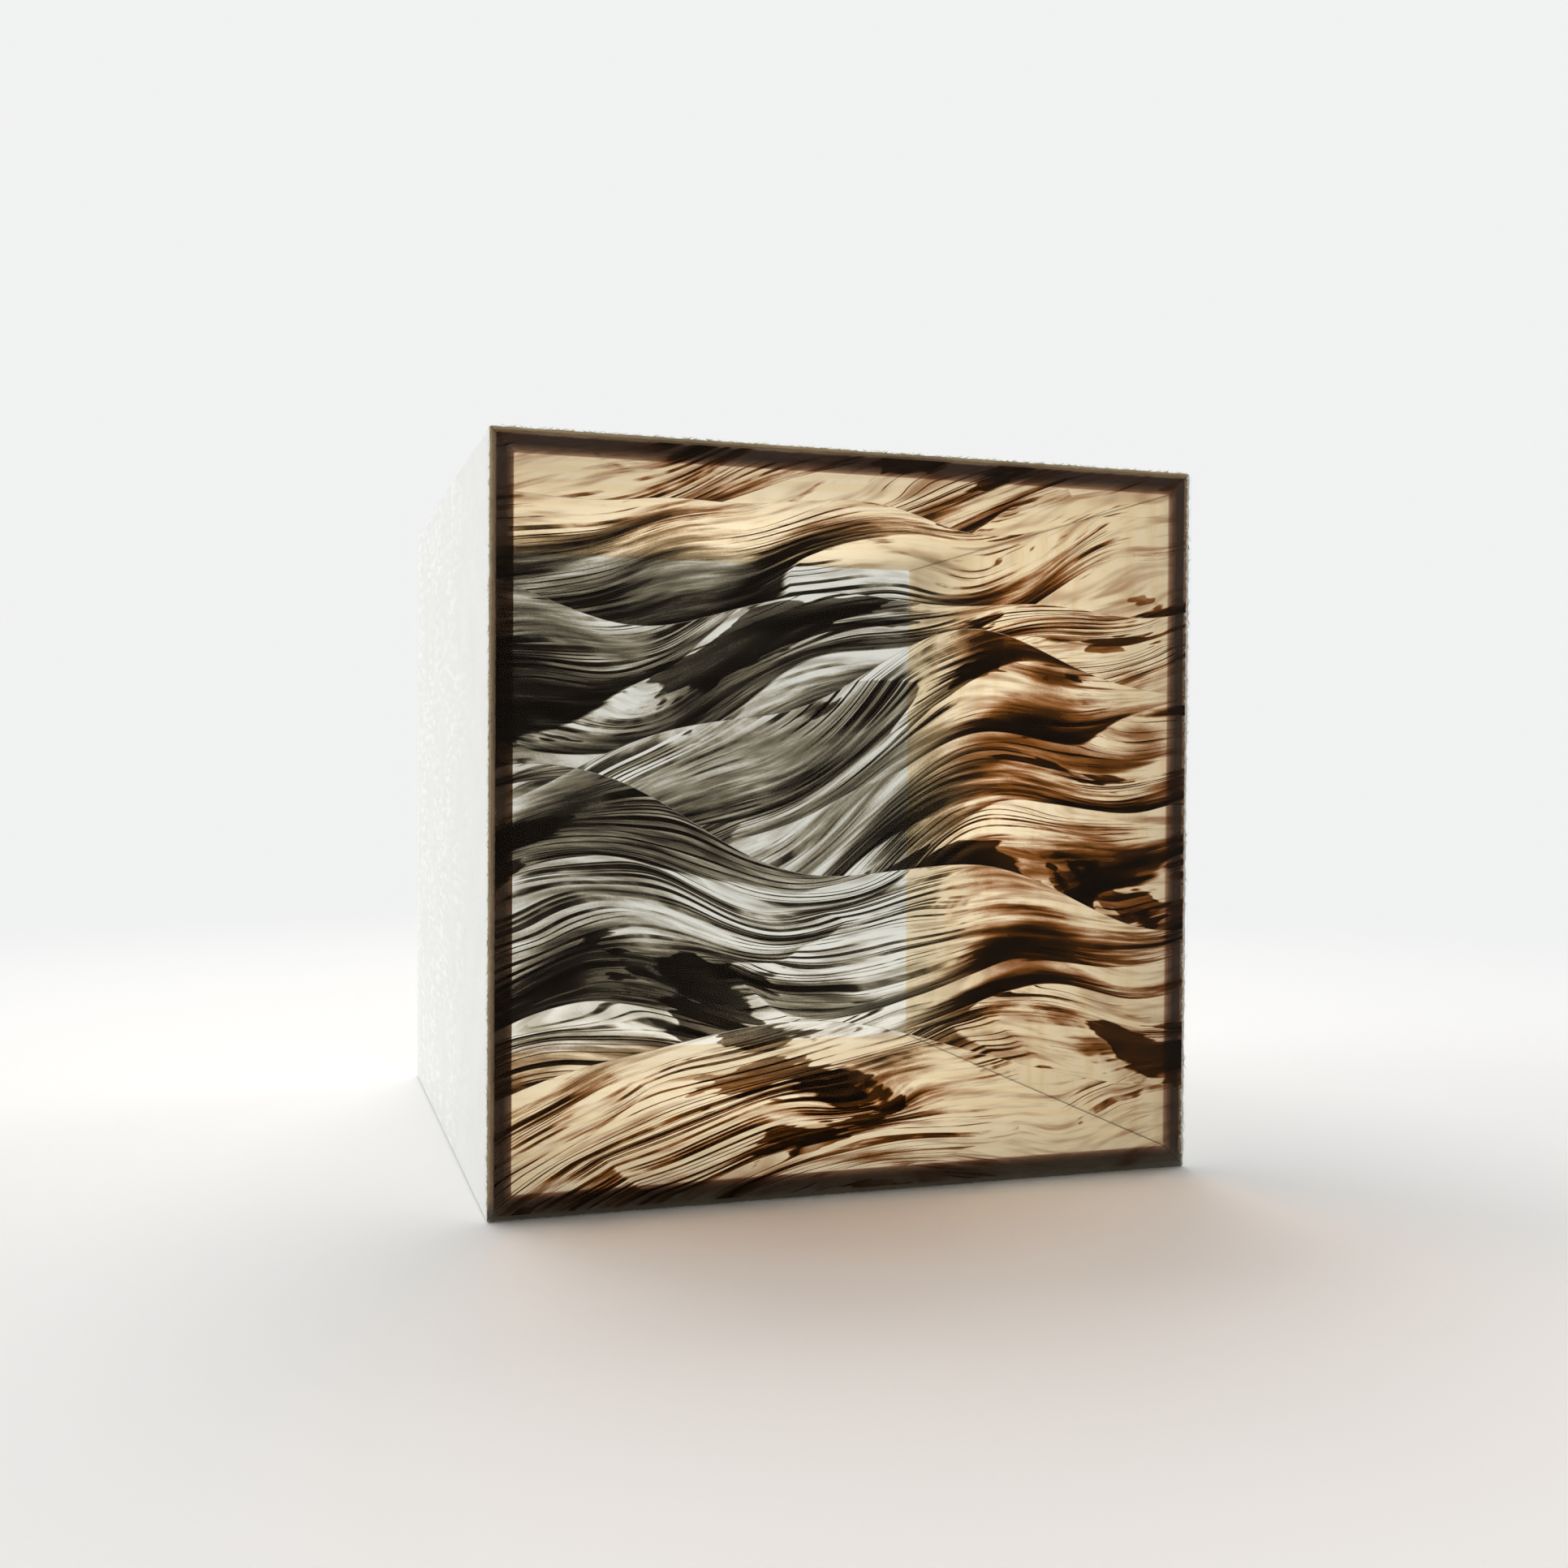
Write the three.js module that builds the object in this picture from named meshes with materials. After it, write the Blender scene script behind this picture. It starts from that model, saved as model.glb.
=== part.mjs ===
// Wood photo cube: an open-backed box of four thin mitred boards, painted white outside and bare
// inside, with a see-through picture and a clear pane taped across its front edges.
// Millimetres, +Z up. The picture faces -Y and the origin is at the middle of the base.
import * as THREE from 'three';

// The whole cube, from the base to the top and from the front of the pane to the open back
const CUBE_WIDTH = 101.6;
const CUBE_HEIGHT = 101.6;
const CUBE_DEPTH = 101.6;

// The boards: their stock, the glue in each mitre and the sanded round of the outer corners
const BOARD_THICKNESS = 3.2;
const GLUE_LINE = 0.1;
const CORNER_RADIUS = 0.4;
const CORNER_STEPS = 3;

// The front layers, from the outside in
const PANE_THICKNESS = 0.8;
const PANE_ARRIS = 0.12; // polished bevel along the pane's edges
const FILM_THICKNESS = 0.2;
const TAPE_THICKNESS = 0.4;

// What each layer leaves showing round its edge
const WOOD_MARGIN = 0.4; // bare wood outside the pane
const PANE_MARGIN = 0.45; // clear pane outside the film
const FILM_MARGIN = 0.3; // film outside the tape
const TAPE_INSET = 0.25; // tape to the inner edge of the boards
const TAPE_JOINT = 0.3; // gap where two strips of tape meet

// Where each layer starts, front to back
const PANE_FRONT = -CUBE_DEPTH / 2;
const FILM_FRONT = PANE_FRONT + PANE_THICKNESS;
const TAPE_FRONT = FILM_FRONT + FILM_THICKNESS;
const BOARD_FRONT = TAPE_FRONT + TAPE_THICKNESS;
const BOARD_BACK = CUBE_DEPTH / 2;

// How far each layer's edge lies inside the outer faces of the boards
const PANE_EDGE = WOOD_MARGIN;
const FILM_EDGE = PANE_EDGE + PANE_MARGIN;
const TAPE_EDGE = FILM_EDGE + FILM_MARGIN;
const TAPE_WIDTH = BOARD_THICKNESS - TAPE_EDGE - TAPE_INSET;

const FINISHES = {
  white_paint: { color: 0xeeeeea, roughness: 0.62, metalness: 0 },
  clear_acrylic: { color: 0xf6f8f7, roughness: 0.06, metalness: 0, transparent: true, opacity: 0.2 },
  printed_film: { color: 0xb08a58, roughness: 0.15, metalness: 0, transparent: true, opacity: 0.75 },
  clear_tape: { color: 0xe9e7df, roughness: 0.4, metalness: 0, transparent: true, opacity: 0.5 },
};

const cube = new THREE.Group();

function addPiece(name, finish, geometry) {
  const piece = new THREE.Mesh(geometry, new THREE.MeshStandardMaterial(FINISHES[finish]));
  piece.name = name;
  cube.add(piece);
  return piece;
}

// Section of a board as [along, inward] points: along its outer face from one corner of the cube
// to the next, and inward from that face. Both ends are 45 degree mitres, each set back by its
// half of the glue line, and each outer corner is an eighth of a circle, which the next board carries on.
function boardSection(span) {
  const setback = GLUE_LINE / Math.SQRT2;
  const arc = Math.PI / 4 - Math.asin(GLUE_LINE / 2 / CORNER_RADIUS);
  const start = [[BOARD_THICKNESS + setback, BOARD_THICKNESS]];
  for (let step = 0; step <= CORNER_STEPS; step += 1) {
    const angle = arc * (1 - step / CORNER_STEPS);
    start.push([CORNER_RADIUS * (1 - Math.sin(angle)), CORNER_RADIUS * (1 - Math.cos(angle))]);
  }
  const end = start.map(([along, inward]) => [span - along, inward]).reverse();
  return [...start, ...end];
}

// A board runs the depth of the box behind the tape. place turns a section point into [x, z].
function addBoard(name, span, place) {
  const corners = boardSection(span).map((point) => new THREE.Vector2(...place(point)));
  const geometry = new THREE.ExtrudeGeometry(new THREE.Shape(corners), {
    depth: BOARD_BACK - BOARD_FRONT,
    bevelEnabled: false,
  });
  geometry.rotateX(Math.PI / 2);
  addPiece(name, 'white_paint', geometry).position.y = BOARD_BACK;
}

function addBox() {
  const side = CUBE_WIDTH / 2;
  addBoard('left_wall', CUBE_HEIGHT, ([along, inward]) => [inward - side, along]);
  addBoard('right_wall', CUBE_HEIGHT, ([along, inward]) => [side - inward, along]);
  addBoard('bottom_wall', CUBE_WIDTH, ([along, inward]) => [along - side, inward]);
  addBoard('top_wall', CUBE_WIDTH, ([along, inward]) => [along - side, CUBE_HEIGHT - inward]);
}

// A flat layer, from its left, bottom, right and top edges and its front face.
function addLayer(name, finish, [left, bottom, right, top], front, thickness) {
  const geometry = new THREE.BoxGeometry(right - left, thickness, top - bottom);
  const layer = addPiece(name, finish, geometry);
  layer.position.set((left + right) / 2, front + thickness / 2, (bottom + top) / 2);
}

// The left, bottom, right and top edges that lie a given distance inside the outer faces.
function insetEdges(inset) {
  const side = CUBE_WIDTH / 2 - inset;
  return [-side, inset, side, CUBE_HEIGHT - inset];
}

// The pane's edges are bevelled on both faces.
function addPane() {
  const [left, bottom, right, top] = insetEdges(PANE_EDGE);
  const corners = [[left, bottom], [right, bottom], [right, top], [left, top]];
  const outline = new THREE.Shape(corners.map((corner) => new THREE.Vector2(...corner)));
  const geometry = new THREE.ExtrudeGeometry(outline, {
    depth: PANE_THICKNESS - 2 * PANE_ARRIS,
    bevelThickness: PANE_ARRIS,
    bevelSize: PANE_ARRIS,
    bevelOffset: -PANE_ARRIS,
    bevelSegments: 1,
  });
  geometry.rotateX(Math.PI / 2);
  addPiece('front_pane', 'clear_acrylic', geometry).position.y = FILM_FRONT - PANE_ARRIS;
}

function addFilm() {
  addLayer('picture_film', 'printed_film', insetEdges(FILM_EDGE), FILM_FRONT, FILM_THICKNESS);
}

// Four strips hold the film and pane on the boards: the upper and lower ones run the full width,
// and the side ones stand between them.
function addTape() {
  const [left, bottom, right, top] = insetEdges(TAPE_EDGE);
  const low = bottom + TAPE_WIDTH;
  const high = top - TAPE_WIDTH;
  const strips = {
    bottom_tape: [left, bottom, right, low],
    top_tape: [left, high, right, top],
    left_tape: [left, low + TAPE_JOINT, left + TAPE_WIDTH, high - TAPE_JOINT],
    right_tape: [right - TAPE_WIDTH, low + TAPE_JOINT, right, high - TAPE_JOINT],
  };
  for (const [name, edges] of Object.entries(strips)) {
    addLayer(name, 'clear_tape', edges, TAPE_FRONT, TAPE_THICKNESS);
  }
}

addBox();
addPane();
addFilm();
addTape();

export default cube;
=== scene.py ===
"""Wood photo cube: four mitred boards, white outside and bare inside, with a see-through picture of
dunes and a clear pane taped over their front edges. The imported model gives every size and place."""
import math

import bmesh
import bpy
import numpy as np
from mathutils import Matrix, Vector


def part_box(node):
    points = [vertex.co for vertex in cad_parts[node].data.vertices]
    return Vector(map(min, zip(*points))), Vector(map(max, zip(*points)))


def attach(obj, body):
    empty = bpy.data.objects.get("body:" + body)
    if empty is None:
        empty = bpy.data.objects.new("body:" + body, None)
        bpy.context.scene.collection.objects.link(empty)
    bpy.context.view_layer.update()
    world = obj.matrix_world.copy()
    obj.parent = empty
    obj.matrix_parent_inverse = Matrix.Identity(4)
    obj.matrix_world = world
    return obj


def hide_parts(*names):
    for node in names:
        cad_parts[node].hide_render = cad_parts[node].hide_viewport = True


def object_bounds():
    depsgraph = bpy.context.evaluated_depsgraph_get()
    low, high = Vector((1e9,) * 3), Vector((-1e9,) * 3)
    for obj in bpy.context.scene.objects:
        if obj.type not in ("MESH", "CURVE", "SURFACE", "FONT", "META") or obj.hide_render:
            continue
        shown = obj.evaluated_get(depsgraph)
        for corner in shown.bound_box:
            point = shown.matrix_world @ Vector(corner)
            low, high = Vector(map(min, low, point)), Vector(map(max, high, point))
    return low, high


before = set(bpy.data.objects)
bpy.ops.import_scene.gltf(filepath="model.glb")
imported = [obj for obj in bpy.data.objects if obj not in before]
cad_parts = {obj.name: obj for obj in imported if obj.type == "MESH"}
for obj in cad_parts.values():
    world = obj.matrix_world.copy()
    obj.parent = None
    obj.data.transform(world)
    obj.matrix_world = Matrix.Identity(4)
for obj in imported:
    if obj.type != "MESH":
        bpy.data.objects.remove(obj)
cad_low, cad_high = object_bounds()

# Shapes are worked out in millimetres and written to the meshes in metres
MM = 0.001


def node_box(node):
    """A CAD node's lowest and highest corner, in millimetres."""
    low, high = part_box(node)
    return np.array(low) / MM, np.array(high) / MM


# The cube and its boards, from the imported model
SIDE = cad_high.x / MM
HEIGHT = cad_high.z / MM
WALL_LOW, WALL_HIGH = node_box("left_wall")
BOARD = WALL_HIGH[0] - WALL_LOW[0]
BOARD_FRONT = WALL_LOW[1]
BOARD_BACK = WALL_HIGH[1]

# The boards' joints, arrises and saw cuts
GLUE_LINE = 0.1
CORNER_RADIUS = 0.4
WORN_ARRIS = 0.3
WEAR_PITCH = 1.1
SAW_CLEARANCE = 0.03
SAW_ROUGHNESS = 0.1
SAW_REACH = 0.15
SAW_CELLS = 0.8, 3.5, 0.03  # to a millimetre: along, inward and back
# How far round its outer arrises the paint of each board reaches. On the right board it covers the whole
# bare margin of the front edge, as a painted highlight where that edge would catch the light.
PAINT_REACH_AND_RIGHT_HIGHLIGHT = {"left_wall": 0.12, "right_wall": 0.6, "bottom_wall": 0.12, "top_wall": 0.12}

# How far apart the boards lie in the stock that the wood is worked out from
STOCK_PITCH = 140

# How finely a board is drawn, with the rows at its ends as shares of the corner radius
ALONG_STEPS = 330
FACE_STEPS = 40
EDGE_STEPS = 12
ARC_STEPS = 5
CORNER_ROWS = 0.0, 0.15, 0.35, 0.6, 1.0

# Loose fibres along the outer front arrises, from the least to the most
FIBRE_COUNTS = {"left_wall": 200, "right_wall": 90, "top_wall": 380}
FIBRE_LENGTH = 0.4, 1.6
FIBRE_RADIUS = 0.022, 0.05
FIBRE_LIFT = 0.02, 0.36
FIBRE_LEAN = 0.0, 0.3
FIBRE_ROOT = 0.12
FIBRE_MARGIN = 3 * CORNER_RADIUS
FIBRE_ROWS = 6
FIBRE_SIDES = 4
FIBRE_SEED = 11
FIBRE_PAINT = 0.42

# How close points are merged, and the angle from which an edge stays sharp, in degrees
MERGE_DISTANCE = 0.002
SHARP_ANGLE = 40

# The lattice's sine: what each axis and the seed add to its angle, and its height
LATTICE_AXES = 12.9898, 78.233, 37.719
LATTICE_SEED = 4.137
LATTICE_HEIGHT = 43758.5453


def lattice(cells, seed):
    """A fixed value from 0 to 1 for each whole cell: the fraction of a tall sine of its coordinates."""
    mixed = cells @ np.array(LATTICE_AXES) + seed * LATTICE_SEED
    return np.modf(np.abs(np.sin(mixed)) * LATTICE_HEIGHT)[0]


def smooth_noise(places, seed):
    """Value noise: the lattice values at a cell's eight corners, blended by a cubic fade."""
    cell = np.floor(places)
    part = places - cell
    fade = part * part * (3 - 2 * part)
    total = np.zeros(places.shape[:-1])
    for corner in np.ndindex(2, 2, 2):
        share = np.where(corner, fade, 1 - fade).prod(axis=-1)
        total += share * lattice(cell + corner, seed)
    return total


def grid_faces(rows, columns):
    """Quads of a grid whose columns close round on themselves."""
    row, column = np.mgrid[0:rows - 1, 0:columns]
    ahead = (column + 1) % columns
    corners = [row * columns + column, (row + 1) * columns + column,
               (row + 1) * columns + ahead, row * columns + ahead]
    return np.stack(corners, axis=-1).reshape(-1, 4)


def closed_faces(rows, columns):
    """The same quads, with a flat face over the first row and one over the last."""
    first = list(range(columns))
    last = list(range((rows - 1) * columns, rows * columns))
    return grid_faces(rows, columns).tolist() + [first, last]


def make_piece(name, points, faces, materials, replaced=(), face_material=None, attributes=None):
    """A closed mesh from points in millimetres: doubles merged, faces outwards, riding on the cube."""
    mesh = bpy.data.meshes.new(name)
    mesh.from_pydata((points.reshape(-1, 3) * MM).tolist(), [], faces)
    for label, (kind, values) in (attributes or {}).items():
        field = "vector" if kind == "FLOAT_VECTOR" else "value"
        mesh.attributes.new(label, kind, "POINT").data.foreach_set(field, values.ravel())
    if face_material is not None:
        mesh.polygons.foreach_set("material_index", face_material)
    work = bmesh.new()
    work.from_mesh(mesh)
    bmesh.ops.remove_doubles(work, verts=work.verts, dist=MERGE_DISTANCE * MM)
    bmesh.ops.recalc_face_normals(work, faces=work.faces)
    work.to_mesh(mesh)
    work.free()
    mesh.polygons.foreach_set("use_smooth", np.ones(len(mesh.polygons), bool))
    mesh.set_sharp_from_angle(angle=math.radians(SHARP_ANGLE))
    piece = bpy.data.objects.new(name, mesh)
    bpy.context.scene.collection.objects.link(piece)
    for material in materials:
        mesh.materials.append(material)
    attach(piece, "root")
    if replaced:
        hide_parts(*replaced)
    return piece


# A place on a board is (along, inward, depth): along its outer face from one corner of the cube to the
# next, inward from that face, and back from the front. This turns it into x, y and z.
BOARD_PLACES = {
    "left_wall": lambda along, inward, depth: (inward - SIDE, depth, along),
    "right_wall": lambda along, inward, depth: (SIDE - inward, depth, along),
    "bottom_wall": lambda along, inward, depth: (along - SIDE, depth, inward),
    "top_wall": lambda along, inward, depth: (along - SIDE, depth, HEIGHT - inward),
}
BOARD_SPANS = {"left_wall": HEIGHT, "right_wall": HEIGHT, "bottom_wall": 2 * SIDE, "top_wall": 2 * SIDE}

# A board's section goes round from its outer front arris: across the front edge, along the inner face,
# across the back edge and back along the outer face. Each arris has its sides as (inward, depth) and
# its least radius. The inner front arris is the softest.
ARRISES = (-1, -1), (1, -1), (1, 1), (-1, 1)
ARRIS_RADII = 0.12, 0.45, 0.12, 0.12
SIDE_STEPS = EDGE_STEPS, FACE_STEPS, EDGE_STEPS, FACE_STEPS


def rounded_section(along, seed):
    """The board's section at each place along it: a rectangle whose corners are quarter circles. The
    radius of the two outer arrises wanders along the board, as worn edges do."""
    middle = np.array([BOARD, BOARD_FRONT + BOARD_BACK]) / 2
    half = np.array([BOARD, BOARD_BACK - BOARD_FRONT]) / 2
    wander = smooth_noise(along[:, None] * np.array([WEAR_PITCH, 0, 0]), seed)
    arcs = []
    for quarter, (arris, least) in enumerate(zip(ARRISES, ARRIS_RADII)):
        worn = WORN_ARRIS * wander ** 2 if arris[0] < 0 else 0 * wander
        radius = (least + worn)[:, None]
        angle = math.pi + math.pi / 2 * (quarter + np.linspace(0, 1, ARC_STEPS))
        turn = np.stack([np.cos(angle), np.sin(angle)], axis=-1)
        centre = middle + np.array(arris) * (half - radius)
        arcs.append(centre[:, None] + radius[..., None] * turn)
    outline = []
    for arc, following, steps in zip(arcs, arcs[1:] + arcs[:1], SIDE_STEPS):
        start, end = arc[:, -1:], following[:, :1]
        share = np.linspace(0, 1, steps + 2)[1:-1, None]
        outline += [arc, start + share * (end - start)]
    return np.concatenate(outline, axis=1)


def board_surface(name, seed):
    """A board as a grid: its rounded section carried along the grain. Each row is slid to its mitre,
    so the ends slope at 45 degrees, and the outer face bends down an eighth of a circle there. Noise
    across the grain makes the sawn edges uneven."""
    span = BOARD_SPANS[name]
    crowd = CORNER_RADIUS * np.array(CORNER_ROWS)
    between = np.linspace(CORNER_RADIUS, span - CORNER_RADIUS, ALONG_STEPS)[1:-1]
    along = np.concatenate([crowd, between, span - crowd[::-1]])
    inward, depth = np.moveaxis(rounded_section(along, seed), -1, 0)
    # The right board's wider paint is a painted highlight on its front edge
    paint = np.exp(-inward / PAINT_REACH_AND_RIGHT_HIGHLIGHT[name])
    setback = GLUE_LINE / math.sqrt(2)
    bevel = math.pi / 4 - math.asin(GLUE_LINE / 2 / CORNER_RADIUS)
    first = np.maximum(inward + setback, CORNER_RADIUS * (1 - math.sin(bevel)))
    run = first + along[:, None] / span * (span - 2 * first)
    from_end = np.minimum(run, span - run)
    drop = CORNER_RADIUS - np.clip(from_end, 0, CORNER_RADIUS)
    inward = np.maximum(inward, CORNER_RADIUS - np.sqrt(CORNER_RADIUS ** 2 - drop ** 2))
    cells = np.stack([run, inward, depth], axis=-1) * np.array(SAW_CELLS)
    rough = SAW_CLEARANCE + SAW_ROUGHNESS * smooth_noise(cells, seed + 1) ** 2
    on_front = np.exp(-(depth - BOARD_FRONT) / SAW_REACH)
    on_back = np.exp(-(BOARD_BACK - depth) / SAW_REACH)
    depth = depth + rough * (on_front - on_back)
    joint = from_end - first
    return run, inward, depth, paint, joint


def stock_place(run, inward, depth, seed):
    """A place in the stock that the wood is worked out from, where each board has its own length."""
    return np.stack([run + STOCK_PITCH * seed, inward, depth], axis=-1)


def wood_attributes(stock, paint, joint):
    """What the wood and paint are worked out from: a place in the stock, the paint on it and how far it
    lies from the nearest mitre."""
    return {"stock": ("FLOAT_VECTOR", stock), "paint": ("FLOAT", paint), "joint": ("FLOAT", joint)}


def add_board(name, seed, finish):
    run, inward, depth, paint, joint = board_surface(name, seed)
    points = np.stack(BOARD_PLACES[name](run, inward, depth), axis=-1)
    attributes = wood_attributes(stock_place(run, inward, depth, seed), paint, joint)
    make_piece(name.replace("wall", "board"), points, closed_faces(*run.shape), [finish],
               [name], attributes=attributes)


def fibre_surface(name, draw):
    """The loose fibres of one board, all worked out at once. Each is a ring whose radius is the sine of
    its place along the fibre, carried along a parabola that starts in the arris and lifts off it."""
    count = FIBRE_COUNTS[name]
    root = draw.uniform(FIBRE_MARGIN, BOARD_SPANS[name] - FIBRE_MARGIN, count)
    way = draw.choice([-1, 1], count)
    limits = FIBRE_LENGTH, FIBRE_RADIUS, FIBRE_LIFT, FIBRE_LEAN
    drawn = [root, way] + [draw.uniform(*limit, count) for limit in limits]
    root, way, length, radius, lift, lean = (value[:, None, None] for value in drawn)
    share = np.linspace(0, 1, FIBRE_ROWS)[:, None]
    turn = 2 * math.pi * np.arange(FIBRE_SIDES) / FIBRE_SIDES
    ring = radius * np.sin(math.pi * share)
    run = root + way * length * share + 0 * turn
    inward = FIBRE_ROOT - (FIBRE_ROOT + lift) * share ** 2 + ring * np.cos(turn)
    depth = BOARD_FRONT + FIBRE_ROOT - lean * share ** 2 + ring * np.sin(turn)
    return run, inward, depth


def add_fibres(finish):
    draw = np.random.default_rng(FIBRE_SEED)
    points, stock = [], []
    for seed, name in enumerate(FIBRE_COUNTS):
        run, inward, depth = fibre_surface(name, draw)
        points.append(np.stack(BOARD_PLACES[name](run, inward, depth), axis=-1))
        stock.append(stock_place(run, inward, depth, seed))
    points, stock = np.concatenate(points), np.concatenate(stock)
    quads = grid_faces(FIBRE_ROWS, FIBRE_SIDES)
    each = FIBRE_ROWS * FIBRE_SIDES * np.arange(len(points))
    faces = (each[:, None, None] + quads).reshape(-1, 4).tolist()
    paint = np.full(stock.shape[:-1], FIBRE_PAINT)
    joint = np.full(stock.shape[:-1], BOARD)
    attributes = wood_attributes(stock, paint, joint)
    make_piece("edge_fibres", points, faces, [finish], attributes=attributes)


# How finely a sheet is drawn round its corners and arrises, and the least bend of a corner
SHEET_CORNER_POINTS = 6
SHEET_ARRIS_POINTS = 4
LEAST_BEND = 0.02


def rounded_rectangle(low, high, radius, inset):
    """Outline of a sheet in x and z, anticlockwise from the front: four quarter circles, drawn in by
    an inset."""
    middle = (low + high) / 2
    half = (high - low) / 2 - inset
    bend = max(radius - inset, LEAST_BEND)
    angle = np.linspace(0, math.pi / 2, SHEET_CORNER_POINTS)
    quarters = [angle + quarter * math.pi / 2 for quarter in range(4)]
    signs = [(1, 1), (-1, 1), (-1, -1), (1, -1)]
    corners = [middle + sign * (half - bend) + bend * np.stack([np.cos(turn), np.sin(turn)], axis=-1)
               for turn, sign in zip(quarters, np.array(signs))]
    return np.concatenate(corners)


def sheet_surface(node, radius, arris, gap):
    """A flat sheet in the place of a CAD node, with a gap before and behind it: its outline carried
    through a section that runs from the front face, round the edge, to the back face."""
    low, high = node_box(node)
    front, back = low[1] + gap, high[1] - gap
    angle = np.linspace(0, math.pi / 2, SHEET_ARRIS_POINTS)
    inset = np.concatenate([arris * (1 - np.sin(angle)), arris * (1 - np.cos(angle))])
    depth = np.concatenate([front + arris * (1 - np.cos(angle)), back - arris * (1 - np.sin(angle))])
    outline = np.stack([rounded_rectangle(low[[0, 2]], high[[0, 2]], radius, each) for each in inset])
    y = np.broadcast_to(depth[:, None], outline.shape[:2])
    points = np.stack([outline[..., 0], y, outline[..., 1]], axis=-1)
    return points, closed_faces(*outline.shape[:2])


class Value:
    """A shader socket that takes part in Python arithmetic: an operator adds the Math node it needs."""

    def __init__(self, shader, socket):
        self.shader = shader
        self.socket = socket

    def __add__(self, other):
        return self.shader.math("ADD", self, other)

    def __sub__(self, other):
        return self.shader.math("SUBTRACT", self, other)

    def __rsub__(self, other):
        return self.shader.math("SUBTRACT", other, self)

    def __mul__(self, other):
        return self.shader.math("MULTIPLY", self, other)

    def __truediv__(self, other):
        return self.shader.math("DIVIDE", self, other)

    def __abs__(self):
        return self.shader.math("ABSOLUTE", self)

    __radd__ = __add__
    __rmul__ = __mul__


class Shader:
    """The node tree of one material or of the world."""

    def __init__(self, owner, output="ShaderNodeOutputMaterial"):
        owner.use_nodes = True
        self.tree = owner.node_tree
        self.tree.nodes.clear()
        self.output = self.tree.nodes.new(output)

    def node(self, kind, settings=None, inputs=None, output=0):
        """A node with its settings, then the numbers or links of its sockets. Returns one output."""
        node = self.tree.nodes.new(kind)
        for setting, choice in (settings or {}).items():
            if setting == "stops":
                self.set_stops(node.color_ramp, choice)
            else:
                setattr(node, setting, choice)
        for label, given in (inputs or {}).items():
            socket = next(s for s in node.inputs if label in (s.name, s.identifier) and s.enabled)
            if isinstance(given, Value):
                self.tree.links.new(given.socket, socket)
            else:
                socket.default_value = given
        if isinstance(output, str):
            found = next(s for s in node.outputs if s.name == output and s.enabled)
        else:
            found = [s for s in node.outputs if s.enabled][output]
        return Value(self, found)

    @staticmethod
    def set_stops(ramp, stops):
        for index, (place, colour) in enumerate(stops):
            stop = ramp.elements[index] if index < 2 else ramp.elements.new(place)
            stop.position = place
            stop.color = (*colour, 1)

    def math(self, operation, *given):
        node = self.tree.nodes.new("ShaderNodeMath")
        node.operation = operation
        for socket, value in zip(node.inputs, given):
            if isinstance(value, Value):
                self.tree.links.new(value.socket, socket)
            else:
                socket.default_value = value
        return Value(self, node.outputs[0])

    def vector(self, x, y, z):
        return self.node("ShaderNodeCombineXYZ", inputs={"X": x, "Y": y, "Z": z})

    def axes(self, vector):
        inputs = {"Vector": vector}
        return [self.node("ShaderNodeSeparateXYZ", inputs=inputs, output=axis) for axis in "XYZ"]

    def scaled(self, vector, by):
        settings = {"operation": "MULTIPLY"}
        return self.node("ShaderNodeVectorMath", settings, {"Vector": vector, "Vector_001": by})

    def attribute(self, label, output):
        return self.node("ShaderNodeAttribute", {"attribute_name": label}, output=output)

    def noise(self, place, scale=1.0, detail=2.0, roughness=0.5):
        inputs = {"Vector": place, "Scale": scale, "Detail": detail, "Roughness": roughness}
        return self.node("ShaderNodeTexNoise", inputs=inputs)

    def line_noise(self, place, detail=2.0):
        inputs = {"W": place, "Scale": 1.0, "Detail": detail}
        return self.node("ShaderNodeTexNoise", {"noise_dimensions": "1D"}, inputs)

    def smooth(self, value, low, high, to_low=0.0, to_high=1.0):
        settings = {"interpolation_type": "SMOOTHSTEP"}
        inputs = {"Value": value, "From Min": low, "From Max": high}
        inputs.update({"To Min": to_low, "To Max": to_high})
        return self.node("ShaderNodeMapRange", settings, inputs)

    def mix(self, share, first, second):
        inputs = {"Factor": share, "A": self.colour(first), "B": self.colour(second)}
        return self.node("ShaderNodeMix", {"data_type": "RGBA"}, inputs, "Result")

    @staticmethod
    def colour(given):
        return given if isinstance(given, Value) else (*given, 1)

    def ramp(self, value, stops):
        return self.node("ShaderNodeValToRGB", {"stops": stops}, {"Fac": value})

    def bump(self, height, distance, strength=1.0):
        inputs = {"Height": height, "Distance": distance, "Strength": strength}
        return self.node("ShaderNodeBump", inputs=inputs)

    def principled(self, **inputs):
        named = {label.replace("_", " "): value for label, value in inputs.items()}
        return self.node("ShaderNodeBsdfPrincipled", inputs=named)

    def clear(self, colour):
        return self.node("ShaderNodeBsdfTransparent", inputs={"Color": (*colour, 1)})

    def blend(self, share, first, second):
        inputs = {"Fac": share, "Shader": first, "Shader_001": second}
        return self.node("ShaderNodeMixShader", inputs=inputs)

    def light_path(self, *kinds):
        """1 for a ray of any of these kinds, and 0 for the rest."""
        rays = [self.node("ShaderNodeLightPath", output=f"Is {kind} Ray") for kind in kinds]
        return self.math("MINIMUM", sum(rays[1:], rays[0]), 1.0)

    def finish(self, surface):
        self.tree.links.new(surface.socket, self.output.inputs["Surface"])


def new_shader(name):
    material = bpy.data.materials.new(name)
    return material, Shader(material)
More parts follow.
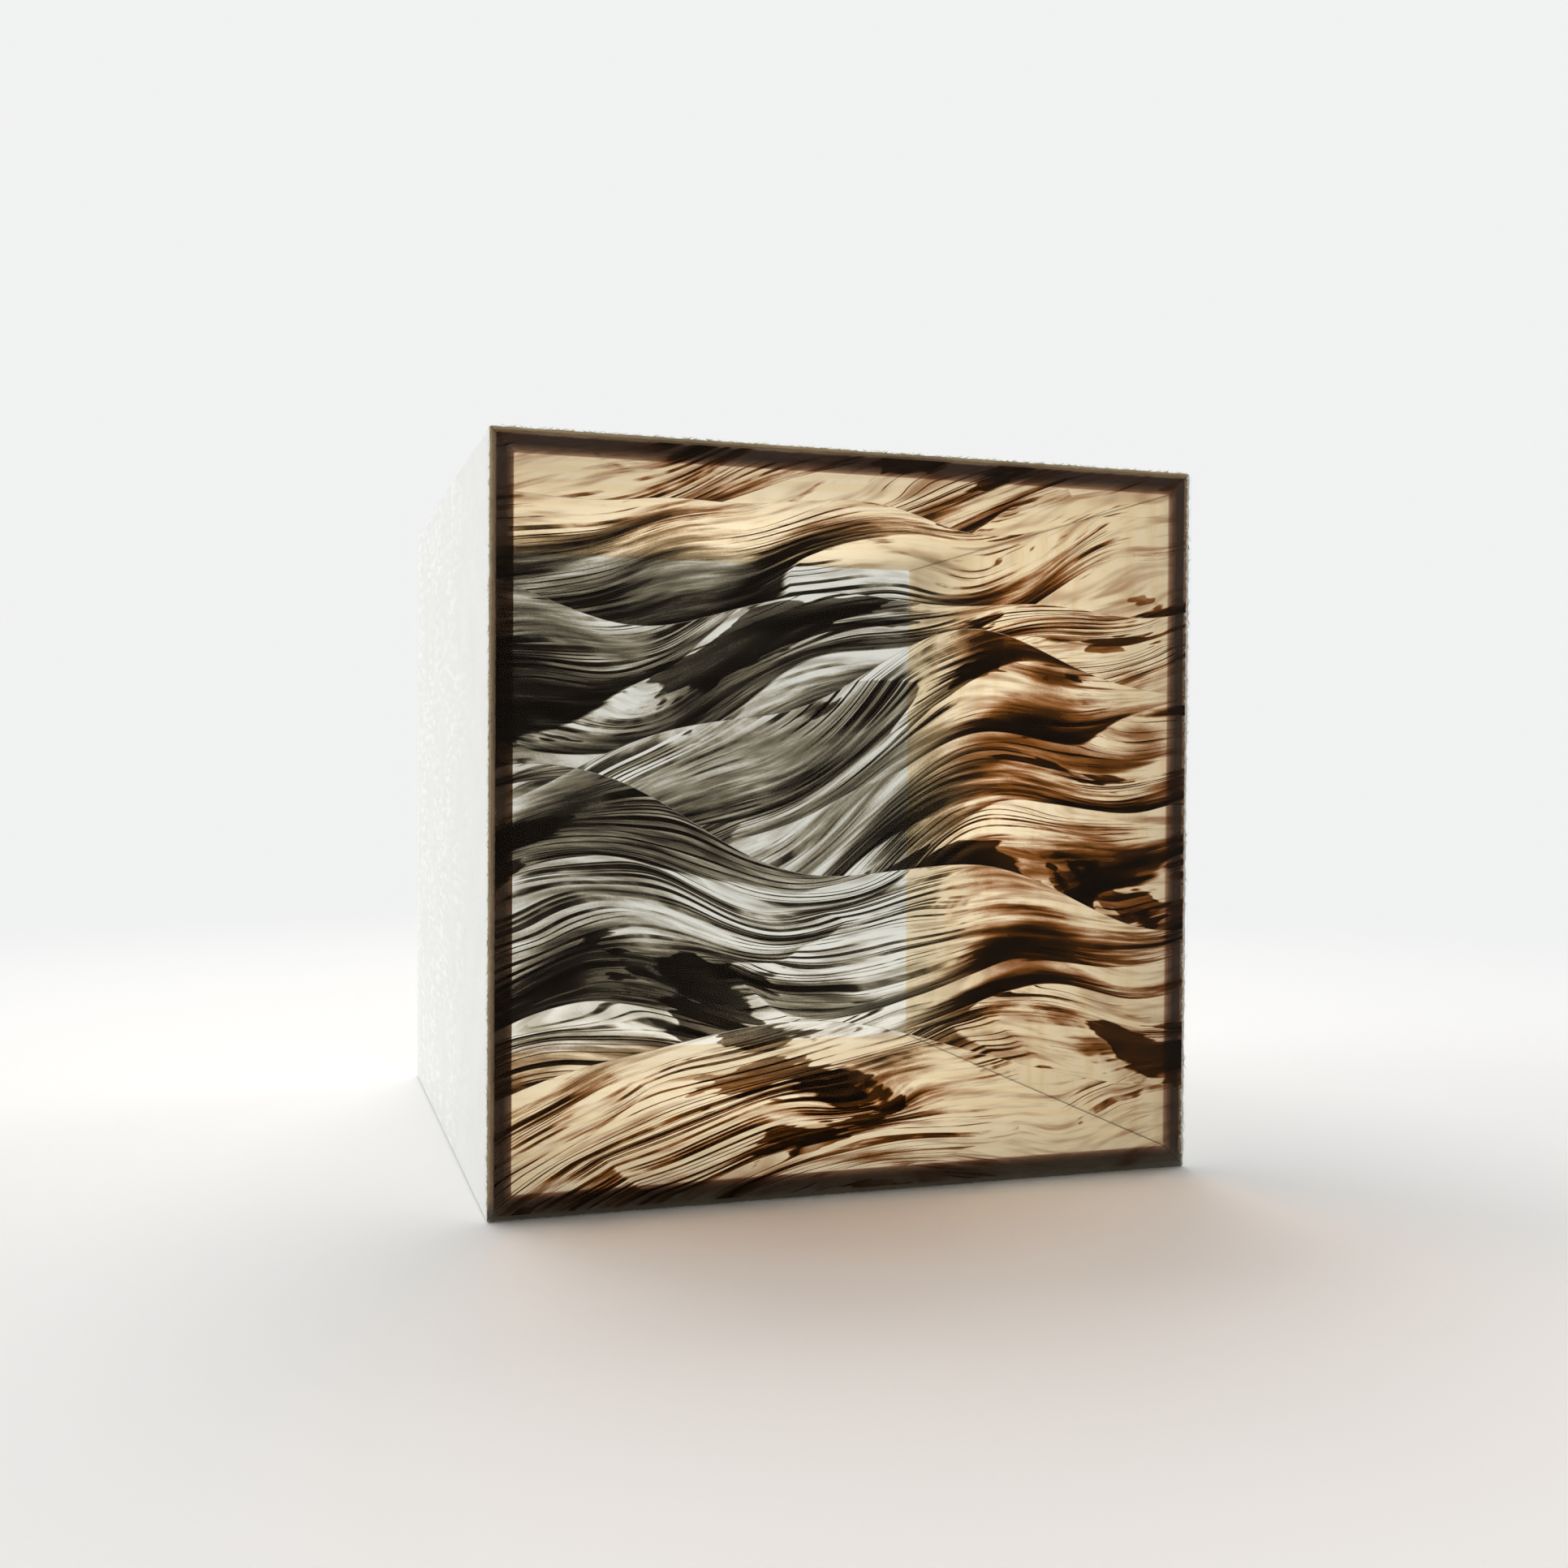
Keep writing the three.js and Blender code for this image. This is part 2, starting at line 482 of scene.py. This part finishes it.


# Tones of the bare wood, by ring and fibre, and of the front edge, by fibre. Behind the pane's margin and
# the tape, the front edge is painted in shade, darkest over the tape. Near the inner face it is painted
# lighter again, as if lit from inside the cube.
BARE_WOOD = (0.15, (0.88, 0.81, 0.69)), (0.55, (0.85, 0.765, 0.605)), (0.9, (0.78, 0.64, 0.45))
SAWN_WOOD = (0.3, (0.70, 0.56, 0.31)), (0.7, (0.48, 0.365, 0.175))
PANE_SHADE_WOOD = (0.3, (0.42, 0.27, 0.16)), (0.7, (0.28, 0.17, 0.10))
TAPE_SHADE_WOOD = (0.3, (0.045, 0.016, 0.011)), (0.7, (0.022, 0.008, 0.005))
INNER_LIGHT_WOOD = (0.3, (0.62, 0.36, 0.25)), (0.7, (0.46, 0.26, 0.17))
PORE_COLOUR = 0.40, 0.26, 0.13
SEAM_COLOUR = 0.16, 0.10, 0.06
CONTACT_SHADE_COLOUR = 0.10, 0.095, 0.08

# Where the front edge goes from one tone to the next, in millimetres from the outer face. The tones run
# from sawn wood, to painted shade behind the pane's margin, to deeper painted shade behind the tape, to
# painted light near the inner face. Then where behind the front the inner face starts.
SAWN_TO_PANE_SHADE = 0.30, 0.50
PANE_SHADE_TO_TAPE_SHADE = 0.75, 1.0
TAPE_SHADE_TO_INNER_LIGHT = 1.9, 3.5
FACE_TO_EDGE = BOARD_FRONT + 0.8, BOARD_FRONT + 0.3
# Painted contact shadow: the front edge is darker where the cube stands on the floor, up to this height
CONTACT_SHADE_HEIGHTS = BOARD * MM, 0.3 * BOARD * MM
SEAM_WIDTH = 0.24, 0.06
# How raggedly the tones, the seam and the paint end
TONE_RAGGED = 0.3
SEAM_RAGGED = 0.12
PAINT_RAGGED = 0.9

# Cells of each mark in the wood or the paint to a millimetre along, inward and back
RING_CELLS = 0.014, 0.2, 0.06
FIBRE_CELLS = 0.22, 7.0, 7.0
PORE_CELLS = 0.5, 11.0, 11.0
BRISTLE_CELLS = 4.5, 1.0, 0.09
DAB_CELLS = 0.85, 1.0, 0.2
# The rings' sine: what depth, inward and their noise add to its angle
RING_ANGLE = 0.55, 0.9, 26.0

# Where noise becomes a mark: the value at which it starts and the one from which it is full
RING_MARK = -0.9, 1.0
PORE_MARK = 0.62, 0.72
DAB_MARK = 0.49, 0.58
PATCH_MARK = 0.36, 0.60
SPECK_MARK = 0.76, 0.80
SCRATCH_MARK = 0.66, 0.71
PAINT_MARK = 0.42, 0.58

# How strongly each mark colours the wood or the paint
PORE_SHARE = 0.4
SEAM_SHARE = 0.3
CONTACT_SHADE_SHARE = 0.85
STIPPLE_SHARE = 0.12
BRISTLE_SHARE = 0.25
DAB_GLINT_SHARE = 0.95
SCRATCH_SHARE = 0.3
SPECK_SHARE = 0.3

# The paint: its coat, what the brush, the dabs, scratches and specks turn it to, and the depths between
# which the dabs grow denser towards the back edge. The dabs' lighter colour is a painted glint on the
# brush marks, so it grows towards the back edge, where light would graze them.
PAINT_COAT = (0.35, (0.84, 0.85, 0.82)), (0.65, (0.875, 0.88, 0.855))
BRUSHED_COLOUR = 0.94, 0.94, 0.93
DAB_GLINT_COLOUR = 0.985, 0.985, 0.98
SCRATCH_COLOUR = 0.70, 0.69, 0.65
SPECK_COLOUR = 0.55, 0.52, 0.45
DAB_DEPTHS = -38, 5
LEAST_DABS = 0.15
SCRATCH_SLANT = 0.7
SCRATCH_CELLS = 0.06, 1.7  # to a millimetre: with the slant and across it
WOOD_ROUGHNESS = 0.78
RELIEF = 0.08
RELIEF_STRENGTH = 0.8


def bare_wood(s, stock, inward, depth, ragged):
    """Bare honey wood: rings are a sine of the depth, bent by noise, with fine fibres and pores along the
    grain. The sawn front edges are browner. Behind the pane's margin and the tape they get painted shade,
    darkest over the tape, and painted light again towards the inner face. The edge that the cube stands
    on gets a painted contact shadow. The mitres show a thin seam. Returned with it are its fibres and
    pores."""
    wander = s.noise(s.scaled(stock, RING_CELLS), detail=3.0)
    by_depth, by_inward, by_noise = RING_ANGLE
    angle = depth * by_depth + inward * by_inward + wander * by_noise
    ring = s.smooth(s.math("SINE", angle), *RING_MARK)
    fibre = s.noise(s.scaled(stock, FIBRE_CELLS), detail=3.0, roughness=0.6)
    pore = s.smooth(s.noise(s.scaled(stock, PORE_CELLS), detail=1.0), *PORE_MARK)
    wood = s.ramp(ring * 0.35 + fibre * 0.6, BARE_WOOD)
    wood = s.mix(pore * PORE_SHARE, wood, PORE_COLOUR)

    from_face = inward + (ragged - 0.5) * TONE_RAGGED
    edge = s.ramp(fibre, SAWN_WOOD)
    # Painted shade behind the pane's margin and the tape, then painted light towards the inner face
    edge = s.mix(s.smooth(from_face, *SAWN_TO_PANE_SHADE), edge, s.ramp(fibre, PANE_SHADE_WOOD))
    edge = s.mix(s.smooth(from_face, *PANE_SHADE_TO_TAPE_SHADE), edge, s.ramp(fibre, TAPE_SHADE_WOOD))
    edge = s.mix(s.smooth(from_face, *TAPE_SHADE_TO_INNER_LIGHT), edge, s.ramp(fibre, INNER_LIGHT_WOOD))
    # Painted contact shadow along the edge that stands on the floor
    height = s.axes(s.node("ShaderNodeTexCoord", output="Object"))[2]
    contact_shade = s.smooth(height, *CONTACT_SHADE_HEIGHTS, 0.0, CONTACT_SHADE_SHARE)
    edge = s.mix(contact_shade, edge, CONTACT_SHADE_COLOUR)
    wood = s.mix(s.smooth(depth, *FACE_TO_EDGE), wood, edge)
    seam = s.smooth(s.attribute("joint", "Fac") + (ragged - 0.5) * SEAM_RAGGED, *SEAM_WIDTH)
    return s.mix(seam * SEAM_SHARE, wood, SEAM_COLOUR), fibre, pore


def white_paint(s, stock, along, inward, depth):
    """Brushed white paint: mottled and stippled, with bristle marks and dabs that lie front to back, and
    a few specks and slanting scratches. The dabs are painted lighter, as painted glints, densest towards
    the back edge. Returned with it are its stipple and its relief."""
    mottle = s.noise(stock, scale=0.11, detail=3.0)
    stipple = s.noise(stock, scale=1.3, detail=3.0, roughness=0.6)
    bristle = s.noise(s.scaled(stock, BRISTLE_CELLS), detail=3.0, roughness=0.6)
    dab = s.smooth(s.noise(s.scaled(stock, DAB_CELLS), detail=3.0, roughness=0.6), *DAB_MARK)
    patch = s.smooth(s.noise(stock, scale=0.07, detail=2.0), *PATCH_MARK, LEAST_DABS, 1.0)
    dab = dab * (s.smooth(depth, *DAB_DEPTHS, LEAST_DABS, 1.0) * patch)
    speck = s.smooth(s.noise(stock, scale=0.9, detail=0.0), *SPECK_MARK)
    with_slant = (along + depth * SCRATCH_SLANT) * SCRATCH_CELLS[0]
    across_slant = (depth - along * SCRATCH_SLANT) * SCRATCH_CELLS[1]
    scratch = s.smooth(s.noise(s.vector(with_slant, inward, across_slant), detail=1.0), *SCRATCH_MARK)
    paint = s.ramp(mottle, PAINT_COAT)
    paint = s.mix(stipple * STIPPLE_SHARE + bristle * BRISTLE_SHARE, paint, BRUSHED_COLOUR)
    # Painted glints: the dabs lighten the coat
    paint = s.mix(dab * DAB_GLINT_SHARE, paint, DAB_GLINT_COLOUR)
    paint = s.mix(scratch * SCRATCH_SHARE, paint, SCRATCH_COLOUR)
    paint = s.mix(speck * SPECK_SHARE, paint, SPECK_COLOUR)
    return paint, stipple, stipple * 0.3 + bristle * 0.3 + dab * 0.6 - scratch * 0.3


def board_finish():
    """White paint on the outer faces, worn through along the arrises, and bare wood elsewhere. All of it
    follows the board's own stock: along the grain, inward and back, in millimetres."""
    material, s = new_shader("painted_board")
    stock = s.attribute("stock", "Vector")
    along, inward, depth = s.axes(stock)
    ragged = s.noise(stock, scale=2.2, detail=3.0)
    wood, fibre, pore = bare_wood(s, stock, inward, depth, ragged)
    paint, stipple, brushed = white_paint(s, stock, along, inward, depth)
    covered = s.smooth(s.attribute("paint", "Fac") + (ragged - 0.5) * PAINT_RAGGED, *PAINT_MARK)
    colour = s.mix(covered, wood, paint)
    roughness = WOOD_ROUGHNESS - covered * (0.22 + 0.08 * stipple)
    relief = covered * brushed + (1 - covered) * (fibre - pore * 0.5)
    normal = s.bump(relief, RELIEF * MM, RELIEF_STRENGTH)
    s.finish(s.principled(Base_Color=colour, Roughness=roughness, Normal=normal))
    return material


# The pane's tint, how strongly it mirrors and how sharply
PANE_TINT = 0.985, 0.99, 0.985
PANE_INDEX = 1.13
PANE_ROUGHNESS = 0.02


def pane_finish():
    """Clear glossy plastic: it shows what lies behind it, and mirrors more at a slant."""
    material, s = new_shader("clear_pane")
    leaving = s.node("ShaderNodeNewGeometry", output="Backfacing")
    mirrored = s.node("ShaderNodeFresnel", inputs={"IOR": PANE_INDEX}) * (1 - leaving)
    gloss = s.node("ShaderNodeBsdfGlossy", inputs={"Color": (1, 1, 1, 1), "Roughness": PANE_ROUGHNESS})
    s.finish(s.blend(mirrored, s.clear(PANE_TINT), gloss))
    return material


# Far to near: the height of each dune's crest line as a share of the picture, how far it swings, how
# many swings there are, and where along the noise it starts
DUNES = (
    (0.93, 0.10, 1.9, 3.1),
    (0.80, 0.16, 1.5, 8.7),
    (0.64, 0.20, 1.25, 15.2),
    (0.44, 0.24, 1.05, 27.9),
    (0.20, 0.26, 0.9, 41.3),
)

# How high the farthest ground reaches at the middle of the picture, how far it rises to the right, and
# how soft the crest lines are
FAR_GROUND = 1.12
FAR_RISE = 0.1
CREST_SOFTNESS = 0.0006

# How far apart the dunes lie in the noise of their slopes, and the step over which a slope is read
DUNE_PITCH = 5.17
SLOPE_PITCH = 1.9
SLOPE_DEPTH = 4.2
SLOPE_STEP = 0.016, 0.006

# Where noise becomes a mark in the sand: the value at which it starts and the one from which it is full
SLOPE_MARK = -0.6, 0.6
RIPPLE_MARK = 0.16, 0.03
BROKEN_MARK = 0.42, 0.60
HOLLOW_MARK = 0.585, 0.60
LEE_MARK = 0.47, 0.58
WIND_MARK = 0.46, 0.74

# Where each zone of the picture starts and where it is full: below a crest, up the picture or across it
CREST_ZONE = 0.035, 0.0
FOOT_ZONE = 0.03, 0.30
NEAR_ZONE = 0.30, 0.12
FAR_ZONE = 0.80, 0.92
MIDDLE_TOP = 0.86, 0.70
MIDDLE_FOOT = 0.16, 0.34
CLOUD_SIDE = 0.20, 0.07
CLOUD_TOP = 0.95, 0.82
CLOUD_FOOT = 0.12, 0.26

# The picture's light: what it starts from, and what each feature adds, varies or takes away
BASE_LIGHT = 0.42
RIGHT_LIGHT = 0.26
NEAR_LIGHT = 0.2
FAR_LIGHT = 0.14
SLOPE_LIGHT = 0.80
CREST_LIGHT = 0.14
FOOT_SHADE = 0.20
BAND_RANGE = 0.40
STREAK_RANGE = 0.80
GRAIN_RANGE = 0.10
LEE_SHADE = 0.55
RIPPLE_SHADE = 0.66
HOLLOW_SHADE = 0.55
MARK_SHADE = 0.26
CLOUD_SHADE = 0.08
# Outside the cloud's shadow, tones draw away from this one
MIDDLE_TONE = 0.58
CONTRAST = 0.5
# The heights between which the shadow turns from lighter to darker, and by how much
SHADOW_HEIGHTS = 0.36, 0.56
SHADOW_LIGHT = 0.12, -0.08
# The tones that come out darkest and lightest, and how light those are
TONE_RANGE = 0.15, 1.0
LIGHT_RANGE = 0.06, 1.0


def dune_rows(s, across, up):
    """How far a place lies below the crest line of its dune, and that dune's number from the far end.
    Each crest line is noise along the picture, and a nearer dune hides those behind it."""
    crest = FAR_GROUND + across * FAR_RISE
    row = across * 0
    for height, swing, waves, start in DUNES:
        line = height + swing * (s.line_noise(across * waves + start, detail=1.0) - 0.5) * 2
        inside = s.smooth(line - up, 0.0, CREST_SOFTNESS)
        crest = crest + inside * (line - crest)
        row = row + inside
    return crest - up, row


def dune_tone(s):
    """The picture, from 0 for dark to 1 for light: rows of dunes one behind another. Below each crest
    hangs a bent, ridged noise, whose fall from left to right lights one side of each ridge and shades the
    other. Bands, streaks, thin dark ripples and faint wind marks follow the slopes, and some lee slopes
    and hollows lie in shade. Returned with it is the share of a cloud's shadow, which lies over the left
    of the picture."""
    place = s.node("ShaderNodeTexCoord", output="Object")
    x, _, z = s.axes(place)
    across = x / (2 * SIDE * MM)
    up = z / (HEIGHT * MM)
    below, row = dune_rows(s, across, up)

    slide = across * 2.0 + row * DUNE_PITCH + below * 2.6
    warp = s.noise(s.vector(slide, below * SLOPE_DEPTH + row * 2.71, row * SLOPE_PITCH), scale=0.8)
    bent_across = slide + warp * 1.6
    bent_down = below * SLOPE_DEPTH + warp * 1.1
    bent = s.vector(bent_across, bent_down, row * SLOPE_PITCH)
    ahead = s.vector(bent_across + SLOPE_STEP[0], bent_down + SLOPE_STEP[1], row * SLOPE_PITCH)
    hills = [s.noise(at, scale=0.9, detail=2.2, roughness=0.45) for at in (bent, ahead)]
    ridge, next_ridge = (1 - abs(hill * 2 - 1) for hill in hills)
    lit = s.smooth((ridge - next_ridge) * 20.0, *SLOPE_MARK)

    layers = ridge * 6.0 + warp * 9.0 + below * 62.0 + across * 14.0
    band = s.line_noise(layers, detail=2.0)
    streak = s.noise(s.vector(layers * 1.6, across * 9.0 + row * 3.3, row), detail=2.5, roughness=0.65)
    line = abs(s.line_noise(layers * 1.7 + across * 5.0, detail=1.5) * 2 - 1)
    broken = s.smooth(s.noise(bent, scale=2.6, detail=4.0, roughness=0.6), *BROKEN_MARK)
    ripple = s.smooth(line, *RIPPLE_MARK) * broken
    hollow = s.noise(bent, scale=1.5, detail=4.0, roughness=0.55) + (streak - 0.5) * 0.14
    lee = s.noise(s.vector(bent_across, below * 3.0 + 7.7, row * 2.3), scale=1.2, detail=2.0)
    marks = s.noise(s.vector(layers * 1.5, across * 7.0 + row * 1.7, row), detail=2.0, roughness=0.6)
    grain = s.noise(place, scale=3000.0, detail=1.0)

    near = s.smooth(up, *NEAR_ZONE)
    far = s.smooth(up, *FAR_ZONE)
    middle = s.smooth(up, *MIDDLE_TOP) * s.smooth(up, *MIDDLE_FOOT)
    cloud = s.smooth(across, *CLOUD_SIDE) * s.smooth(up, *CLOUD_TOP) * s.smooth(up, *CLOUD_FOOT)
    tone = BASE_LIGHT + across * RIGHT_LIGHT + near * NEAR_LIGHT + far * FAR_LIGHT + lit * SLOPE_LIGHT
    tone = tone + s.smooth(below, *CREST_ZONE) * CREST_LIGHT - s.smooth(below, *FOOT_ZONE) * FOOT_SHADE
    tone = tone + (band - 0.5) * BAND_RANGE + (streak - 0.5) * STREAK_RANGE
    shadow = cloud * s.smooth(up, *SHADOW_HEIGHTS, *SHADOW_LIGHT)
    tone = tone + (tone - MIDDLE_TONE) * (1 - cloud) * CONTRAST + shadow
    tone = tone * (1 - LEE_SHADE * middle * (1 - cloud) * s.smooth(lee, *LEE_MARK))
    tone = tone * (1 - RIPPLE_SHADE * ripple) * (1 - HOLLOW_SHADE * s.smooth(hollow, *HOLLOW_MARK))
    light = s.smooth(tone + (grain - 0.5) * GRAIN_RANGE, *TONE_RANGE, *LIGHT_RANGE)
    light = light * (1 - MARK_SHADE * s.smooth(marks, *WIND_MARK))
    return light * (1 - cloud * CLOUD_SHADE), cloud


# The ink by the picture's tone, how its cover falls off, and what it lets through where it is pale, dark,
# dark under the cloud, and for the lamps
INK = ((0.0, (0.005, 0.003, 0.002)), (0.3, (0.02, 0.011, 0.005)),
       (0.6, (0.045, 0.025, 0.012)), (1.0, (0.14, 0.095, 0.06)))
INK_FALL = 2.2
BROWN_TONES = 0.42, 1.03
PALE_TINT = 0.96, 0.955, 0.91
BROWN_TINT = 0.92, 0.33, 0.03
CLOUD_TINT = 0.90, 0.79, 0.55
LAMP_TINT = 1.0, 0.46, 0.11
LAMP_COVER = 0.05


def picture_finish():
    """Ink on a clear film: the darker the picture, the less shows through it, and the browner. Lamps
    shine through it evenly, in a warm tint."""
    material, s = new_shader("dune_print")
    tone, cloud = dune_tone(s)
    cover = 1 - s.math("POWER", tone, INK_FALL)
    browned = s.smooth(tone, *BROWN_TONES, 1.0, 0.0)
    lamp = s.light_path("Shadow")
    dark = s.blend(cloud, s.clear(BROWN_TINT), s.clear(CLOUD_TINT))
    seen_through = s.blend(browned, s.clear(PALE_TINT), dark)
    printed = s.principled(Base_Color=s.ramp(tone, INK), Roughness=0.5, Specular_IOR_Level=0.0)
    share = cover + lamp * (LAMP_COVER - cover)
    s.finish(s.blend(share, s.blend(lamp, seen_through, s.clear(LAMP_TINT)), printed))
    return material


# What the plain film and the tape let through, and the colour of their haze
FILM_TINT = 0.99, 0.99, 0.98
FILM_HAZE = 0.8, 0.8, 0.78
TAPE_TINT = 0.97, 0.97, 0.95
TAPE_HAZE = 0.28, 0.15, 0.11
BUBBLE_MARK = 0.58, 0.66


def film_finish():
    """The film's unprinted back and edges: clear, with an uneven trace of haze."""
    material, s = new_shader("clear_film")
    haze = s.noise(s.node("ShaderNodeTexCoord", output="Object"), scale=400.0)
    sheen = s.principled(Base_Color=(*FILM_HAZE, 1), Roughness=0.3)
    s.finish(s.blend(0.005 + haze * 0.02, s.clear(FILM_TINT), sheen))
    return material


def tape_finish():
    """Clear double-sided tape: hazy, with small trapped bubbles."""
    material, s = new_shader("clear_tape")
    place = s.node("ShaderNodeTexCoord", output="Object")
    bubble = s.smooth(s.noise(place, scale=1500.0, detail=1.0), *BUBBLE_MARK)
    hazy = s.principled(Base_Color=(*TAPE_HAZE, 1), Roughness=0.5)
    s.finish(s.blend(0.03 + bubble * 0.10, s.clear(TAPE_TINT), hazy))
    return material


# Each sheet's corners and arrises, and the gap that keeps its faces off those of its neighbours
PANE_SHAPE = {"radius": 0.3, "arris": 0.12, "gap": 0.0}
FILM_SHAPE = {"radius": 0.2, "arris": 0.02, "gap": 0.03}
TAPE_SHAPE = {"radius": 0.15, "arris": 0.05, "gap": 0.02}
FRONT_FACE = -2  # a sheet's front face comes last but one


def add_front():
    """The pane, the picture and the tape, each a hair apart so that no two faces share a place."""
    points, faces = sheet_surface("front_pane", **PANE_SHAPE)
    make_piece("clear_front_pane", points, faces, [pane_finish()], ["front_pane"])
    points, faces = sheet_surface("picture_film", **FILM_SHAPE)
    plain = np.ones(len(faces), int)
    plain[FRONT_FACE] = 0
    make_piece("dune_picture", points, faces, [picture_finish(), film_finish()],
               ["picture_film"], face_material=plain)
    tape = tape_finish()
    for side in ("bottom", "top", "left", "right"):
        points, faces = sheet_surface(f"{side}_tape", **TAPE_SHAPE)
        make_piece(f"{side}_tape_strip", points, faces, [tape], [f"{side}_tape"])


# The studio: a pale floor that fades into the background, so that no horizon shows
BACKGROUND = 0.88, 0.885, 0.885
FLOOR_COLOUR = 0.92, 0.915, 0.905
FLOOR_HALF = 3.0
FLOOR_FADE = 0.12, 0.40


def add_stage():
    mesh = bpy.data.meshes.new("floor")
    corners = [(-1, -1), (1, -1), (1, 1), (-1, 1)]
    mesh.from_pydata([(FLOOR_HALF * x, FLOOR_HALF * y, 0) for x, y in corners], [], [(0, 1, 2, 3)])
    floor = bpy.data.objects.new("floor", mesh)
    bpy.context.scene.collection.objects.link(floor)
    material, s = new_shader("pale_floor")
    x, y, _ = s.axes(s.node("ShaderNodeTexCoord", output="Object"))
    far = s.smooth(s.math("SQRT", x * x + y * y), *FLOOR_FADE)
    card = s.principled(Base_Color=(*FLOOR_COLOUR, 1), Roughness=0.6, Specular_IOR_Level=0.2)
    glow = s.node("ShaderNodeEmission", inputs={"Color": (*BACKGROUND, 1), "Strength": 1.0})
    s.finish(s.blend(far * s.light_path("Camera", "Glossy", "Transmission"), card, glow))
    mesh.materials.append(material)


# Lamps: kind, place and aim in millimetres, watts, colour, and the lamp's own settings in metres
LAMPS = {
    # A large window above and behind
    "window": ("AREA", (-100, 760, 1150), (0, 0, 40), 8.8, (1.0, 0.985, 0.96),
               {"shape": "RECTANGLE", "size": 1.2, "size_y": 0.7}),
    # Soft boxes to the left and right
    "left_box": ("AREA", (-1000, 330, 480), (0, 0, 50), 3.2, (1.0, 1.0, 1.0), {"size": 0.7}),
    "right_box": ("AREA", (1000, 330, 480), (0, 0, 50), 3.2, (1.0, 1.0, 1.0), {"size": 0.7}),
    # A small panel in the open back, which lights the inside of the cube and the picture from behind
    "inner_panel": ("AREA", (0, 49, 58), (0, -50, 66), 0.050, (1.0, 0.99, 0.97),
                    {"size": 0.07, "spread": math.radians(115)}),
}
# The light all round: from the front and from behind, and the slants between which it turns
WORLD_LEVEL = 0.12, 0.85
WORLD_TURN = -0.5, 0.5


def add_lamp(name, kind, place, aim, watts, colour, settings):
    """A lamp that looks from its place towards its aim. The camera never sees it."""
    light = bpy.data.lights.new(name, kind)
    light.energy = watts
    light.color = colour
    for setting, choice in settings.items():
        setattr(light, setting, choice)
    lamp = bpy.data.objects.new(name, light)
    place, aim = Vector(place) * MM, Vector(aim) * MM
    turn = (aim - place).to_track_quat("-Z", "Y").to_matrix().to_4x4()
    lamp.matrix_world = Matrix.Translation(place) @ turn
    lamp.visible_camera = False
    lamp.visible_glossy = False
    bpy.context.scene.collection.objects.link(lamp)


def add_light():
    """Soft light all round, dimmer from the front, and the lamps."""
    world = bpy.data.worlds.new("studio")
    bpy.context.scene.world = world
    s = Shader(world, "ShaderNodeOutputWorld")
    _, y, _ = s.axes(s.node("ShaderNodeTexCoord", output="Generated"))
    level = s.smooth(y, *WORLD_TURN, *WORLD_LEVEL)
    lighting = s.node("ShaderNodeBackground", inputs={"Color": (1, 1, 1, 1), "Strength": level})
    seen = s.node("ShaderNodeBackground", inputs={"Color": (*BACKGROUND, 1), "Strength": 1.0})
    s.finish(s.blend(s.light_path("Camera", "Glossy", "Transmission"), lighting, seen))
    for name, lamp in LAMPS.items():
        add_lamp(name, *lamp)


# The camera: its place in millimetres and its lens, with its turn, tilt and roll in degrees
CAMERA_PLACE = -77.4, -254.9, 59.1
CAMERA_TURN = -17.84
CAMERA_TILT = -0.79
CAMERA_ROLL = 0.35
CAMERA_LENS = 36.8
CAMERA_SENSOR = 36.0
CAMERA_NEAR = 10

# The pane, the film and the tape lie one behind another, so light meets many clear faces on its way
CLEAR_FACES = 24


def add_camera():
    camera = bpy.data.cameras.new("camera")
    camera.sensor_width = CAMERA_SENSOR
    camera.lens = CAMERA_LENS
    camera.clip_start = CAMERA_NEAR * MM
    eye = bpy.data.objects.new("camera", camera)
    turn, tilt, roll = (math.radians(angle) for angle in (CAMERA_TURN, 90 + CAMERA_TILT, CAMERA_ROLL))
    eye.matrix_world = (Matrix.Translation(Vector(CAMERA_PLACE) * MM) @ Matrix.Rotation(turn, 4, "Z")
                        @ Matrix.Rotation(tilt, 4, "X") @ Matrix.Rotation(roll, 4, "Z"))
    bpy.context.scene.collection.objects.link(eye)
    bpy.context.scene.camera = eye


add_camera()
add_light()
add_stage()
painted_board = board_finish()
for board_seed, board_name in enumerate(BOARD_PLACES, start=1):
    add_board(board_name, board_seed, painted_board)
add_fibres(painted_board)
add_front()

bpy.context.scene.view_settings.view_transform = "Standard"
bpy.context.scene.cycles.transparent_max_bounces = CLEAR_FACES
